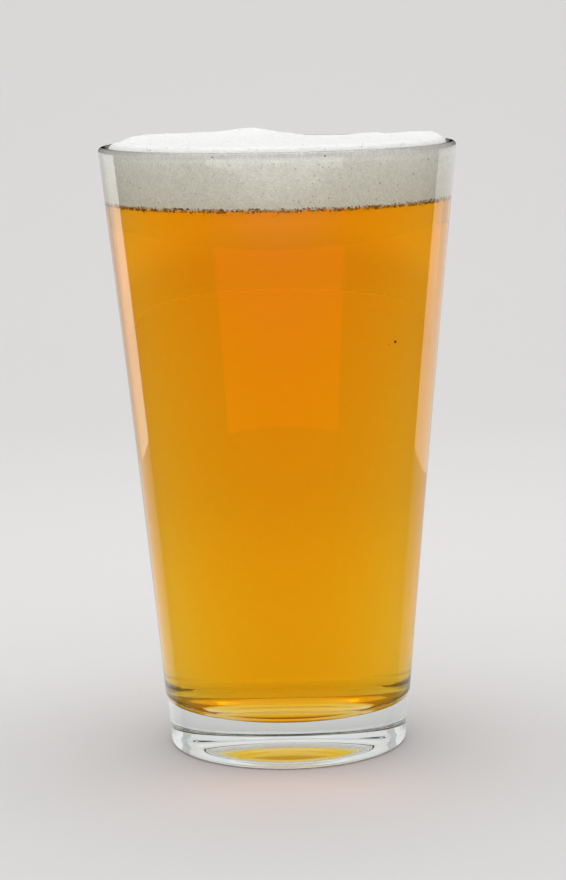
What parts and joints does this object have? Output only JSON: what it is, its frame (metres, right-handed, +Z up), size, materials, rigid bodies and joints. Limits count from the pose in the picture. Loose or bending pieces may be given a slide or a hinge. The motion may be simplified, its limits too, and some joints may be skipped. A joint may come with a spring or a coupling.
{
  "type": "pint of beer",
  "caption": "Tapered clear pint glass with a thick foot, full of clear golden beer under a white foam head that stands just over the rim.",
  "frame": {"origin": "centre of the glass's underside, on the surface it stands on", "axes": "+Z up along the glass's axis; the lowest part of the foam's edge is towards +Y, slightly right (+X)"},
  "size_m": [0.0872, 0.0872, 0.1518],
  "materials": {
    "glass": "clear, fire-polished",
    "beer": "clear golden liquid",
    "foam": "fine white foam"
  },
  "bodies": {
    "root": {"glass": "glass", "beer": "beer", "foam": "foam"}
  },
  "joints": []
}
